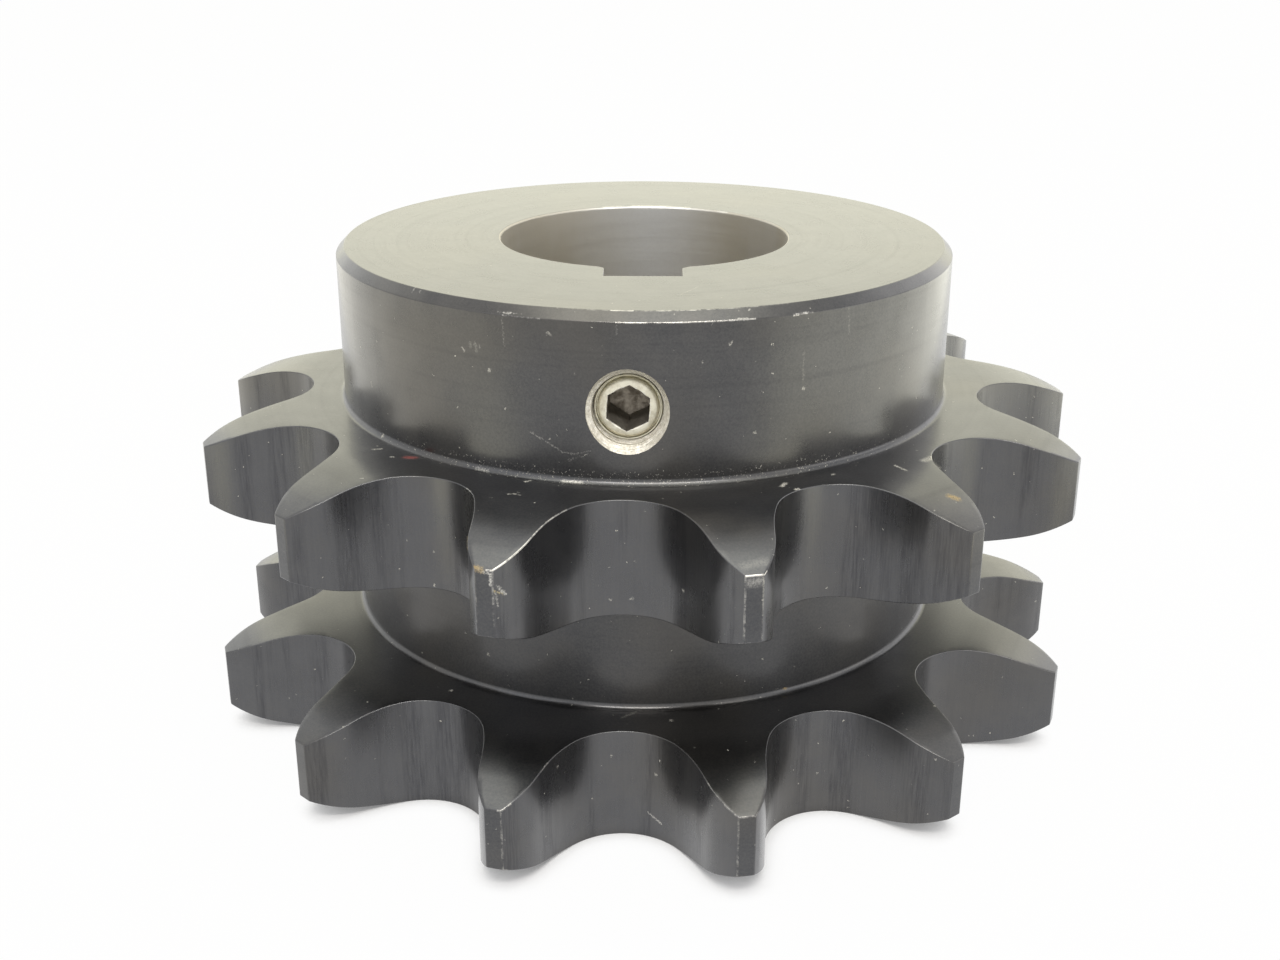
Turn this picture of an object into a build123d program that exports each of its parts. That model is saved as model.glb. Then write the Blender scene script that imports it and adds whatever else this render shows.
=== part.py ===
from build123d import *
from math import asin, atan2, cos, degrees, pi, radians, sin, sqrt, tan
import os

# A steel sprocket for double-strand roller chain: two toothed rings and a hub turned from
# one bar, with a keyed bore and two set screws in the hub.
#
# Sizes are in millimetres and angles in degrees. The origin is on the bore's axis at the
# flat face away from the hub, and +Z runs along the bore to the hub's end. One tooth space
# of each ring faces -Y, and so does the set screw over the keyway.

# Chain: one inch pitch, with the roller in the standard proportion to it
chain_pitch = 25.4
roller_diameter = 0.625 * chain_pitch
strand_spacing = 29.29
strands = 2

# Toothed rings
teeth = 13
ring_thickness = 14.15
tip_width = 2.0                       # flat left on each tooth at the outside diameter
rim_run = 0.5 * chain_pitch           # how far in from the tips the side faces curve
rim_drop = 0.125 * chain_pitch        # how much each side face has lost at the tips

# Groove between the rings, and hub
groove_diameter = 79.375
hub_diameter = 80.96
hub_projection = 20.06                # from the last ring to the hub's end
hub_chamfer = 1.1

# Bore and keyway
bore_diameter = 38.1
bore_chamfer = 0.6
key_width = 9.525
keyway_depth = 4.89                   # at the side of the slot, from the bore's wall
keyway_turn = 2.2                     # the slot's middle, past the middle of the tooth space

# Tapped holes for the set screws
thread_minor_diameter = 7.98
hole_mouth_diameter = 9.9             # the countersink, where it meets the hub
hole_height = 8.66                    # from the last ring to the hole's axis

# Set screws, with a hexagon socket at the outer end and a cup at the inner one
screw_clearance = 0.03                # all round, inside the tapped hole
screw_length = 12.7
screw_recess = 1.4                    # from the hub's surface to the screw's outer end
screw_face_diameter = 6.6
cup_diameter = 5.0
cup_angle = 118
socket_width = 4.7625                 # across the hexagon's flats
socket_depth = 6.0
side_screw_turn = 90                  # the second screw, round the hub from the keyway's
keyway_socket_turn = -3.5             # each hexagon, as the screw came to rest
side_socket_turn = 20

# How far a cutter runs past what it cuts
overrun = 2.0

pitch_radius = chain_pitch / 2 / sin(pi / teeth)
outside_radius = chain_pitch / 2 * (0.6 + 1 / tan(pi / teeth))
face_radius = outside_radius - rim_run
groove_radius = groove_diameter / 2
hub_radius = hub_diameter / 2
bore_radius = bore_diameter / 2
thread_minor_radius = thread_minor_diameter / 2
ring_bottoms = [strand * strand_spacing for strand in range(strands)]
rings_top = ring_bottoms[-1] + ring_thickness
hub_end = rings_top + hub_projection


def polar(radius, angle):
    """The point at this radius and at this angle from +X."""
    return Vector(radius * cos(radians(angle)), radius * sin(radians(angle)))


def arc_past(start, heading, corner, length_past):
    """An arc that leaves start along heading, turns right through corner and runs on past it."""
    chord = corner - start
    inward = Vector(heading.Y, -heading.X)
    radius = chord.dot(chord) / (2 * chord.dot(inward))
    turn = 2 * degrees(asin(chord.length / (2 * radius)))
    start_angle = degrees(atan2(-inward.Y, -inward.X))
    return CenterArc(start + inward * radius, radius, start_angle, -turn - degrees(length_past / radius))


def tooth_space():
    """One tooth space seen along the bore, seated on +Y and open past the tips.

    The standard's form: an arc that seats the roller, a working curve and a short flat on
    each flank, and an arc that tops each tooth off to its tip.
    """
    seat_angle = 35 + 60 / teeth
    working_angle = 18 - 56 / teeth
    topping_angle = 17 - 64 / teeth
    seating_radius = 0.5025 * roller_diameter + 0.038
    working_radius = 1.3025 * roller_diameter + 0.038
    flat_length = roller_diameter * (
        1.4 * sin(radians(topping_angle)) - 0.8 * sin(radians(working_angle))
    )
    seat = Vector(0, pitch_radius)
    working_centre = seat + polar(0.8 * roller_diameter, 180 - seat_angle)
    half_tooth_angle = 180 / teeth - degrees(tip_width / 2 / outside_radius)
    tip_corner = polar(outside_radius, 90 - half_tooth_angle)
    open_end = outside_radius + 2 * overrun

    root = CenterArc(seat, seating_radius, -180 + seat_angle, 180 - 2 * seat_angle)
    working_curve = CenterArc(working_centre, working_radius, -seat_angle, working_angle)
    heading = working_curve % 1
    flat = Line(working_curve @ 1, working_curve @ 1 + heading * flat_length)
    topping = arc_past(flat @ 1, heading, tip_corner, overrun)
    side = [working_curve, flat, topping]
    other_side = [mirror(edge, about=Plane.YZ) for edge in side]
    right_end = topping @ 1
    mouth = Polyline(
        right_end, (right_end.X, open_end), (-right_end.X, open_end), (-right_end.X, right_end.Y)
    )
    return make_face([root, *side, *other_side, mouth])


def rim_arc(face_height, tip_height):
    """Half section of a side face's curve, level at face_radius and falling away to the tips.

    It is a true circular arc, written as a weighted curve because the surface that is turned
    from it meshes into a third fewer triangles than a torus.
    """
    face_edge = Vector(face_radius, face_height)
    tip_edge = Vector(outside_radius, tip_height)
    half_turn = atan2(rim_drop, rim_run)
    level = face_edge + Vector((tip_edge - face_edge).length / 2 / cos(half_turn), 0)
    return Bezier(face_edge, level, tip_edge, weights=[1, cos(half_turn), 1])


def ring_rim(bottom):
    """Half section of one ring's edge, where both side faces curve in towards the tips."""
    top = bottom + ring_thickness
    tip_bottom = bottom + rim_drop
    tip_top = top - rim_drop
    tip_land = Line((outside_radius, tip_bottom), (outside_radius, tip_top))
    return [rim_arc(bottom, tip_bottom), tip_land, rim_arc(top, tip_top)]


def groove(bottom, top):
    """Half section of the groove between two rings."""
    return Polyline(
        (face_radius, bottom), (groove_radius, bottom), (groove_radius, top), (face_radius, top)
    )


def turned_blank():
    """The whole part as it leaves the lathe, bored but with no teeth."""
    section = []
    for bottom in ring_bottoms:
        section += ring_rim(bottom)
    for bottom in ring_bottoms[1:]:
        section.append(groove(bottom - strand_spacing + ring_thickness, bottom))
    section.append(
        Polyline(
            (face_radius, rings_top),
            (hub_radius, rings_top),
            (hub_radius, hub_end - hub_chamfer),
            (hub_radius - hub_chamfer, hub_end),
            (bore_radius + bore_chamfer, hub_end),
            (bore_radius, hub_end - bore_chamfer),
            (bore_radius, bore_chamfer),
            (bore_radius + bore_chamfer, 0),
            (face_radius, 0),
        )
    )
    return revolve(Plane.XZ * make_face(section), Axis.Z)


def tooth_spaces():
    """Cutters for every tooth space, right through all the rings, the first on -Y."""
    cutter = Pos(0, 0, -overrun) * extrude(tooth_space(), rings_top + 2 * overrun)
    return [place * cutter for place in PolarLocations(0, teeth, start_angle=180)]


def keyway():
    """Cutter for the slot along the bore, which faces -Y before it is turned."""
    half_chord = key_width / 2
    floor = sqrt(bore_radius**2 - half_chord**2) + keyway_depth
    slot = Box(key_width, floor, hub_end + 2 * overrun, align=(Align.CENTER, Align.MAX, Align.MIN))
    return Rot(0, 0, keyway_turn) * Pos(0, 0, -overrun) * slot


def on_hub(turn):
    """Place on a screw's axis, with +Z outwards and turned from -Y about the bore."""
    return Rot(0, 0, turn) * Pos(0, 0, rings_top + hole_height) * Rot(90, 0, 0)


def tapped_hole():
    """Cutter for one countersunk hole, from the bore's axis out past the hub."""
    upwards = (Align.CENTER, Align.CENTER, Align.MIN)
    countersink_depth = (hole_mouth_diameter - thread_minor_diameter) / 2
    drill = Cylinder(thread_minor_radius, hub_radius + overrun, align=upwards)
    countersink = Cone(
        thread_minor_radius,
        thread_minor_radius + countersink_depth + overrun,
        countersink_depth + overrun,
        align=upwards,
    )
    return drill + Pos(0, 0, hub_radius - countersink_depth) * countersink


def set_screw():
    """One socket set screw along the axis of its hole, as far out as it sits in the hub."""
    body_radius = thread_minor_radius - screw_clearance
    outer_end = hub_radius - screw_recess
    inner_end = outer_end - screw_length
    face_chamfer = body_radius - screw_face_diameter / 2
    cup_chamfer = body_radius - cup_diameter / 2
    cup_depth = cup_diameter / 2 / tan(radians(cup_angle / 2))
    half_section = Polyline(
        (0, inner_end + cup_depth),
        (cup_diameter / 2, inner_end),
        (body_radius, inner_end + cup_chamfer),
        (body_radius, outer_end - face_chamfer),
        (screw_face_diameter / 2, outer_end),
        (0, outer_end),
        close=True,
    )
    body = revolve(Plane.XZ * make_face(half_section), Axis.Z)
    hexagon = RegularPolygon(socket_width / 2, 6, major_radius=False, rotation=30)
    socket = Pos(0, 0, outer_end - socket_depth) * extrude(hexagon, socket_depth + overrun)
    return body - socket


def sprocket():
    """The toothed, keyed and drilled sprocket, in one piece."""
    holes = [on_hub(turn) * tapped_hole() for turn in (0, side_screw_turn)]
    return turned_blank() - tooth_spaces() - keyway() - holes


nodes = {
    "sprocket": sprocket(),
    "keyway_set_screw": on_hub(0) * Rot(0, 0, keyway_socket_turn) * set_screw(),
    "side_set_screw": on_hub(side_screw_turn) * Rot(0, 0, side_socket_turn) * set_screw(),
}

os.makedirs("parts", exist_ok=True)
for name, solid in nodes.items():
    export_step(solid, f"parts/{name}.step")
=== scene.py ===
from math import acos, asin, atan2, ceil, cos, degrees, pi, radians, sin, sqrt, tan

import bmesh
import bpy
from mathutils import Matrix, Vector


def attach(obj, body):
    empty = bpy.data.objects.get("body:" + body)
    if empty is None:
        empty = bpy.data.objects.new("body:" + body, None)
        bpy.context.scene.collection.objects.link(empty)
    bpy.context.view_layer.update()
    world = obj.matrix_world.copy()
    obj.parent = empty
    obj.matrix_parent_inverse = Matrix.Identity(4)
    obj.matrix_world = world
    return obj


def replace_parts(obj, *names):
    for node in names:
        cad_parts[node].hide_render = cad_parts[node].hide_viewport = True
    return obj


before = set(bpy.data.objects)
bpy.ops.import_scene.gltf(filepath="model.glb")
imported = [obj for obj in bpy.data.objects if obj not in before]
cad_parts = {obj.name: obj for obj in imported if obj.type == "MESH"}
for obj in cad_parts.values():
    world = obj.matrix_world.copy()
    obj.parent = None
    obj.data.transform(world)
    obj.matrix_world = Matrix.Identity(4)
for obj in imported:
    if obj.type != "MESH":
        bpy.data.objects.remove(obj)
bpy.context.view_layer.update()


# Camera: a normal lens that stands close, a little above the sprocket, and looks down past
# the set screw over the keyway.
camera_place = Vector((0.00910, -0.20300, 0.10698))
camera_target = Vector((-0.00050, -0.00002, 0.02841))
camera_roll = 0.0016

camera_data = bpy.data.cameras.new("camera")
camera_data.lens = 43.33
camera_data.sensor_width = 36.0
camera_data.clip_start = 0.01
camera = bpy.data.objects.new("camera", camera_data)
bpy.context.scene.collection.objects.link(camera)
look = (camera_target - camera_place).to_track_quat("-Z", "Y").to_matrix().to_4x4()
camera.matrix_world = Matrix.Translation(camera_place) @ look @ Matrix.Rotation(camera_roll, 4, "Z")
bpy.context.scene.camera = camera
bpy.context.scene.view_settings.view_transform = "Standard"


# Floor and light: a white floor in a white room, with soft lamps behind, at both sides and
# above, and pale cards lying on the floor that send light up under the teeth.
sprocket_middle = (0, 0, 0.03)
card_height = 0.001
floor_half = 4.0
room_level = 0.15                     # the room's own light, where 1 is the white that is seen
contact_reach = 0.003                 # the floor darkens this near to the sprocket


def softbox(name, place, width, height, radiance, colour, aim=sprocket_middle):
    """A soft lamp facing the sprocket or another point, as bright as a surface of this radiance."""
    lamp = bpy.data.lights.new(name, "AREA")
    lamp.shape = "RECTANGLE"
    lamp.size = width
    lamp.size_y = height
    lamp.energy = pi * radiance * width * height
    lamp.color = colour
    box = bpy.data.objects.new(name, lamp)
    bpy.context.scene.collection.objects.link(box)
    place = Vector(place)
    facing = (Vector(aim) - place).to_track_quat("-Z", "Y")
    box.matrix_world = Matrix.Translation(place) @ facing.to_matrix().to_4x4()
    box.visible_camera = False


softbox("key_lamp", (0.12, -1.0, 1.45), 1.1, 0.25, 16.0, (1.0, 0.96, 0.92))
softbox("top_lamp", (0.0, 0.0, 1.6), 1.4, 1.4, 1.75, (1.0, 1.0, 0.88))
softbox("back_lamp", (0.0, 1.7, 0.75), 2.4, 1.5, 0.58, (1.0, 0.95, 0.50))
softbox("right_back_lamp", (1.35, 1.15, 0.75), 1.2, 1.5, 0.66, (1.0, 0.98, 0.97))
softbox("left_back_lamp", (-1.35, 1.15, 0.75), 1.2, 1.5, 0.34, (1.0, 1.0, 0.88))
softbox("right_lamp", (1.55, -0.35, 0.3), 1.6, 0.6, 0.95, (1.0, 0.97, 0.94))
softbox("front_left_lamp", (-1.0, -0.9, 0.9), 1.0, 0.8, 0.4, (0.9, 0.9, 1.0))
for name, x, y, width, height, radiance, colour in (
    ("right_card", 0.36, 0.12, 0.42, 0.6, 1.07, (1.0, 0.98, 0.78)),
    ("left_card", -0.36, 0.12, 0.42, 0.6, 0.53, (1.0, 0.94, 0.70)),
    ("front_left_card", -0.127, -0.109, 0.07, 0.06, 0.7, (1.0, 0.95, 0.6)),
    ("front_right_card", 0.127, -0.109, 0.07, 0.06, 0.57, (1.0, 0.95, 0.6)),
):
    softbox(name, (x, y, card_height), width, height, radiance, colour, aim=(x, y, 1))


def feed(tree, node, inputs):
    """Puts values or other nodes' outputs on a node's inputs; gives its own outputs."""
    for socket, value in inputs.items():
        if isinstance(value, bpy.types.NodeSocket):
            tree.links.new(value, node.inputs[socket])
        else:
            node.inputs[socket].default_value = value
    return node.outputs


def wire(tree, kind, inputs, **settings):
    """Adds a shader node with these inputs and settings; gives its outputs."""
    node = tree.nodes.new("ShaderNode" + kind)
    for setting, value in settings.items():
        setattr(node, setting, value)
    return feed(tree, node, inputs)


def calc(tree, operation, first, second=0.0):
    return wire(tree, "Math", {0: first, 1: second}, operation=operation)[0]


def times(tree, first, second):
    return calc(tree, "MULTIPLY", first, second)


def shown(tree):
    """1 for the camera's rays and those that metal and glass send on, and 0 for light."""
    path = wire(tree, "LightPath", {})
    mirrored = calc(tree, "MAXIMUM", path["Is Glossy Ray"], path["Is Transmission Ray"])
    return calc(tree, "MAXIMUM", path["Is Camera Ray"], mirrored)


def new_finish(name, metallic, roughness):
    """Starts a material; gives it with its tree and its shader."""
    material = bpy.data.materials.new(name)
    material.use_nodes = True
    shader = material.node_tree.nodes["Principled BSDF"]
    feed(material.node_tree, shader, {"Metallic": metallic, "Roughness": roughness})
    return material, material.node_tree, shader


def to_object(bm, name, *finishes):
    """Turns a bmesh into an object of the scene with these finishes, and frees it."""
    mesh = bpy.data.meshes.new(name)
    bm.to_mesh(mesh)
    bm.free()
    for finish in finishes:
        mesh.materials.append(finish)
    made = bpy.data.objects.new(name, mesh)
    bpy.context.scene.collection.objects.link(made)
    return made


world = bpy.data.worlds.new("studio")
bpy.context.scene.world = world
world.use_nodes = True
tree = world.node_tree
level = wire(tree, "MapRange", {"Value": shown(tree), "To Min": room_level, "To Max": 1.0})[0]
feed(tree, tree.nodes["Background"], {"Color": (1, 1, 1, 1), "Strength": level})

floor_white, tree, shader = new_finish("floor_white", 0.0, 0.9)
feed(tree, shader, {"Base Color": (0.88, 0.88, 0.88, 1)})
glow = wire(tree, "Emission", {"Strength": 1.0})[0]
contact = wire(tree, "AmbientOcclusion", {"Distance": contact_reach}, samples=4)["AO"]
open_floor = wire(tree, "MapRange", {
    "Value": contact, "From Min": 0.3, "From Max": 0.8, "To Min": 0.2, "To Max": 0.97,
})[0]
share = times(tree, shown(tree), open_floor)
surface = wire(tree, "MixShader", {0: share, 1: shader.outputs[0], 2: glow})[0]
feed(tree, tree.nodes["Material Output"], {"Surface": surface})
bm = bmesh.new()
bmesh.ops.create_grid(bm, x_segments=1, y_segments=1, size=floor_half)
floor = to_object(bm, "floor", floor_white)


# Sprocket: one steel bar, turned to two rings and a hub, hobbed to thirteen teeth on each
# ring and blackened. The bore, the keyway and two tapped holes are cut last and left bare. It
# is drawn in millimetres and scaled to metres at the end.
millimetre = 0.001
teeth = 13
chain_pitch = 25.4
roller_diameter = 0.625 * chain_pitch
strand_spacing = 29.29
ring_thickness = 14.15
tip_width = 2.0
rim_run = 0.5 * chain_pitch
rim_drop = 0.125 * chain_pitch
groove_radius = 79.375 / 2
hub_radius = 80.96 / 2
hub_end = 63.5
hub_chamfer = 1.1
bore_radius = 38.1 / 2
bore_chamfer = 0.2
fillet_radius = 0.75
join_radius = 44.0                    # where the toothed rings meet the turned surfaces
tooth_edge_break = 0.13
turned_edge_break = 0.09
box_clearance = 0.002                 # the tips stay this far inside the solid's
merge_distance = 0.001                # points nearer than this are one point
slack = 0.01                          # a face this far past a limit still counts as inside it

pitch_radius = chain_pitch / 2 / sin(pi / teeth)
outside_radius = chain_pitch / 2 * (0.6 + 1 / tan(pi / teeth)) - box_clearance
face_radius = outside_radius - rim_run
rim_radius = (rim_run**2 + rim_drop**2) / (2 * rim_drop)
rings_top = strand_spacing + ring_thickness
hole_height = rings_top + 8.66


def vector(tree, operation, first, second=None):
    """A sum on vectors. The second value of a SCALE is a number."""
    inputs = {0: first}
    if second is not None:
        inputs["Scale" if operation == "SCALE" else 1] = second
    outputs = wire(tree, "VectorMath", inputs, operation=operation)
    return outputs["Value" if operation in ("LENGTH", "DISTANCE", "DOT_PRODUCT") else "Vector"]


def ramp(tree, value, low, high, low_to=0.0, high_to=1.0):
    """A smooth step from low_to to high_to as the value goes from low to high."""
    spread = {0: value, 1: low, 2: high, 3: low_to, 4: high_to}
    return wire(tree, "MapRange", spread, interpolation_type="SMOOTHSTEP")[0]


def over(tree, mask, under, top):
    """Colour of one layer laid over another where the mask is 1."""
    return wire(tree, "Mix", {0: mask, 6: under, 7: top}, data_type="RGBA")[2]


def stacked(tree, masks):
    """The strongest of several masks."""
    strongest = masks[0]
    for mask in masks[1:]:
        strongest = calc(tree, "MAXIMUM", strongest, mask)
    return strongest


def in_millimetres(tree):
    """Object coordinates, in millimetres."""
    return vector(tree, "SCALE", wire(tree, "TexCoord", {})["Object"], 1 / millimetre)


def cells_of(tree, place, spacing):
    """Cells of this size, each with three numbers of its own between 0 and 1."""
    fine = calc(tree, "DIVIDE", 1.0, spacing)
    cells = wire(tree, "TexVoronoi", {"Vector": place, "Scale": fine})
    return cells, wire(tree, "SeparateXYZ", {0: cells["Color"]})


def new_effect(name, inputs, output="Mask"):
    """Starts a node group with these inputs and one output; gives its tree, inputs and output."""
    tree = bpy.data.node_groups.new(name, "ShaderNodeTree")
    for socket, value in inputs.items():
        kind = "NodeSocketFloat" if isinstance(value, (int, float)) else "NodeSocketVector"
        tree.interface.new_socket(socket, in_out="INPUT", socket_type=kind).default_value = value
    tree.interface.new_socket(output, in_out="OUTPUT", socket_type="NodeSocketFloat")
    ends = tree.nodes.new("NodeGroupInput"), tree.nodes.new("NodeGroupOutput")
    return tree, ends[0].outputs, ends[1].inputs[0]


def effect(tree, name, **inputs):
    """Places an effect in a material, with its inputs named in lower case; gives its output."""
    node = tree.nodes.new("ShaderNodeGroup")
    node.node_tree = bpy.data.node_groups[name]
    return feed(tree, node, {socket.capitalize(): value for socket, value in inputs.items()})[0]


# Tool marks run round the bore's axis: fine on a face from its middle outwards, and on a
# cylinder from end to end
tree, given, result = new_effect("tool_marks", {"Spacing": 0.2, "Run": 2.0}, "Height")
x, y, z = wire(tree, "SeparateXYZ", {0: in_millimetres(tree)})
flat = wire(tree, "CombineXYZ", {0: x, 1: y})[0]
radius = vector(tree, "LENGTH", flat)
round_part = vector(tree, "SCALE", vector(tree, "NORMALIZE", flat), given["Run"])
along = calc(tree, "DIVIDE", calc(tree, "ADD", radius, z), given["Spacing"])
marks_at = vector(tree, "ADD", round_part, wire(tree, "CombineXYZ", {2: along})[0])
marks = wire(tree, "TexNoise", {"Vector": marks_at, "Scale": 1.0, "Detail": 2.0})["Fac"]
tree.links.new(marks, result)

# Patches with soft or ragged edges, for uneven oxide, oil and rubbing
tree, given, result = new_effect("patches", {
    "Size": 10.0, "Cover": 0.5, "Softness": 0.2, "Roughness": 0.5, "Stretch": (1.0, 1.0, 1.0),
})
place = vector(tree, "MULTIPLY", in_millimetres(tree), given["Stretch"])
fine = calc(tree, "DIVIDE", 1.0, given["Size"])
cloud = wire(tree, "TexNoise", {
    "Vector": place, "Scale": fine, "Detail": 4.0, "Roughness": given["Roughness"],
})["Fac"]
middle = calc(tree, "SUBTRACT", 1.0, given["Cover"])
low = calc(tree, "SUBTRACT", middle, given["Softness"])
high = calc(tree, "ADD", middle, given["Softness"])
tree.links.new(ramp(tree, cloud, low, high), result)

# Specks of dust, each somewhere in a cell of its own, with only a share of cells used. Specks
# and scratches take their place from the material, which shakes it to make them ragged.
tree, given, result = new_effect("specks", {
    "Place": (0, 0, 0), "Spacing": 2.0, "Size": 0.15, "Share": 0.3,
})
cells, chance = cells_of(tree, given["Place"], given["Spacing"])
reach = calc(tree, "DIVIDE", given["Size"], given["Spacing"])
reach = times(tree, reach, calc(tree, "ADD", 0.4, chance[1]))
speck = ramp(tree, cells["Distance"], times(tree, reach, 0.6), reach, 1.0, 0.0)
chosen = calc(tree, "LESS_THAN", chance[0], given["Share"])
chosen = times(tree, chosen, ramp(tree, chance[2], 0.0, 1.0, 0.3, 1.0))
tree.links.new(times(tree, speck, chosen), result)

# Short straight scratches in all directions, one to a cell
tree, given, result = new_effect("scuffs", {
    "Spacing": 6.0, "Length": 3.0, "Width": 0.05, "Share": 0.3,
})
place = in_millimetres(tree)
cells, chance = cells_of(tree, place, given["Spacing"])
inside = vector(tree, "SUBTRACT", place, vector(tree, "SCALE", cells["Position"], given["Spacing"]))
tilt = vector(tree, "NORMALIZE", vector(tree, "SUBTRACT", cells["Color"], (0.5, 0.5, 0.5)))
off_line = calc(tree, "ABSOLUTE", vector(tree, "DOT_PRODUCT", inside, tilt))
from_middle = vector(tree, "LENGTH", inside)
line = ramp(tree, off_line, times(tree, given["Width"], 0.4), given["Width"], 1.0, 0.0)
half_length = times(tree, given["Length"], 0.5)
ends = ramp(tree, from_middle, times(tree, half_length, 0.5), half_length, 1.0, 0.0)
chosen = calc(tree, "LESS_THAN", chance[2], given["Share"])
line = times(tree, times(tree, line, ends), chosen)
tree.links.new(line, result)

# One scratch, chip, smear or painted highlight between two points
tree, given, result = new_effect("scratch", {
    "Place": (0.0, 0.0, 0.0), "Start": (0.0, 0.0, 0.0), "End": (1.0, 0.0, 0.0), "Width": 0.1,
    "Strength": 1.0,
})
whole = vector(tree, "SUBTRACT", given["End"], given["Start"])
part = vector(tree, "SUBTRACT", given["Place"], given["Start"])
along = vector(tree, "DOT_PRODUCT", part, whole)
length = vector(tree, "DOT_PRODUCT", whole, whole)
along = wire(tree, "Math", {0: along, 1: length}, operation="DIVIDE", use_clamp=True)[0]
gap = vector(tree, "DISTANCE", part, vector(tree, "SCALE", whole, along))
tree.links.new(ramp(tree, gap, 0.0, given["Width"], given["Strength"], 0.0), result)

# Bare metal on broken edges: ragged, and longer and brighter as the edge_wear mark nears 1
tree, given, result = new_effect("worn_edges", {"Size": 1.5})
fine = calc(tree, "DIVIDE", 1.0, given["Size"])
cloud = wire(tree, "TexNoise", {
    "Vector": in_millimetres(tree), "Scale": fine, "Detail": 6.0, "Roughness": 0.8,
})["Fac"]
edge_mark = wire(tree, "Attribute", {}, attribute_name="edge_wear")["Fac"]
worn = wire(tree, "Math", {0: edge_mark, 1: 0.6, 2: cloud}, operation="MULTIPLY_ADD")[0]
worn = ramp(tree, worn, 0.88, 1.12)
worn = times(tree, worn, calc(tree, "POWER", edge_mark, 3.0))
tree.links.new(worn, result)

# Dust that has settled where a hub or a groove meets a ring, thickest towards -Y
tree, given, result = new_effect("settled", {"Radius": 40.0, "Height": 0.0, "Reach": 2.0})
x, y, z = wire(tree, "SeparateXYZ", {0: in_millimetres(tree)})
radius = vector(tree, "LENGTH", wire(tree, "CombineXYZ", {0: x, 1: y})[0])
outwards = calc(tree, "SUBTRACT", radius, given["Radius"])
upwards = calc(tree, "SUBTRACT", z, given["Height"])
away = vector(tree, "LENGTH", wire(tree, "CombineXYZ", {0: outwards, 1: upwards})[0])
near = ramp(tree, away, 0.0, given["Reach"], 1.0, 0.0)
turned_away = calc(tree, "DIVIDE", y, radius)
near = times(tree, near, ramp(tree, turned_away, -0.99, -0.5, 1.0, 0.12))
tree.links.new(near, result)


def dress(tree, shader, colour, roughness, height, depth):
    """Gives a finish its colour, roughness and bump, which is this many millimetres deep."""
    bump = wire(tree, "Bump", {"Height": height, "Distance": depth * millimetre, "Strength": 1.0})
    feed(tree, shader, {"Base Color": colour, "Roughness": roughness, "Normal": bump[0]})


def shaken(tree):
    """Object coordinates in millimetres, shaken a little so that what is placed by them is ragged."""
    place = in_millimetres(tree)
    shake = wire(tree, "TexNoise", {"Vector": place, "Scale": 5.0, "Detail": 0.0})["Color"]
    shake = vector(tree, "SCALE", vector(tree, "SUBTRACT", shake, (0.5, 0.5, 0.5)), 0.4)
    return vector(tree, "ADD", place, shake)


def struck(tree, place, marks, ragged):
    """Mask of marks in known places, each with its start, end, half width and strength."""
    mask = stacked(tree, [
        effect(tree, "scratch", place=place, start=start, end=end, width=width, strength=strength)
        for start, end, width, strength in marks
    ])
    return times(tree, mask, ragged)


pale_black = (0.115, 0.113, 0.110, 1)
brown_black = (0.105, 0.093, 0.072, 1)
deep_black = (0.022, 0.022, 0.030, 1)
bare = (0.66, 0.64, 0.59, 1)
dust = (0.72, 0.70, 0.63, 1)
red_fleck = (0.30, 0.07, 0.06, 1)
rust = (0.55, 0.42, 0.22, 1)
pale_rust = (0.55, 0.47, 0.28, 1)


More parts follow.
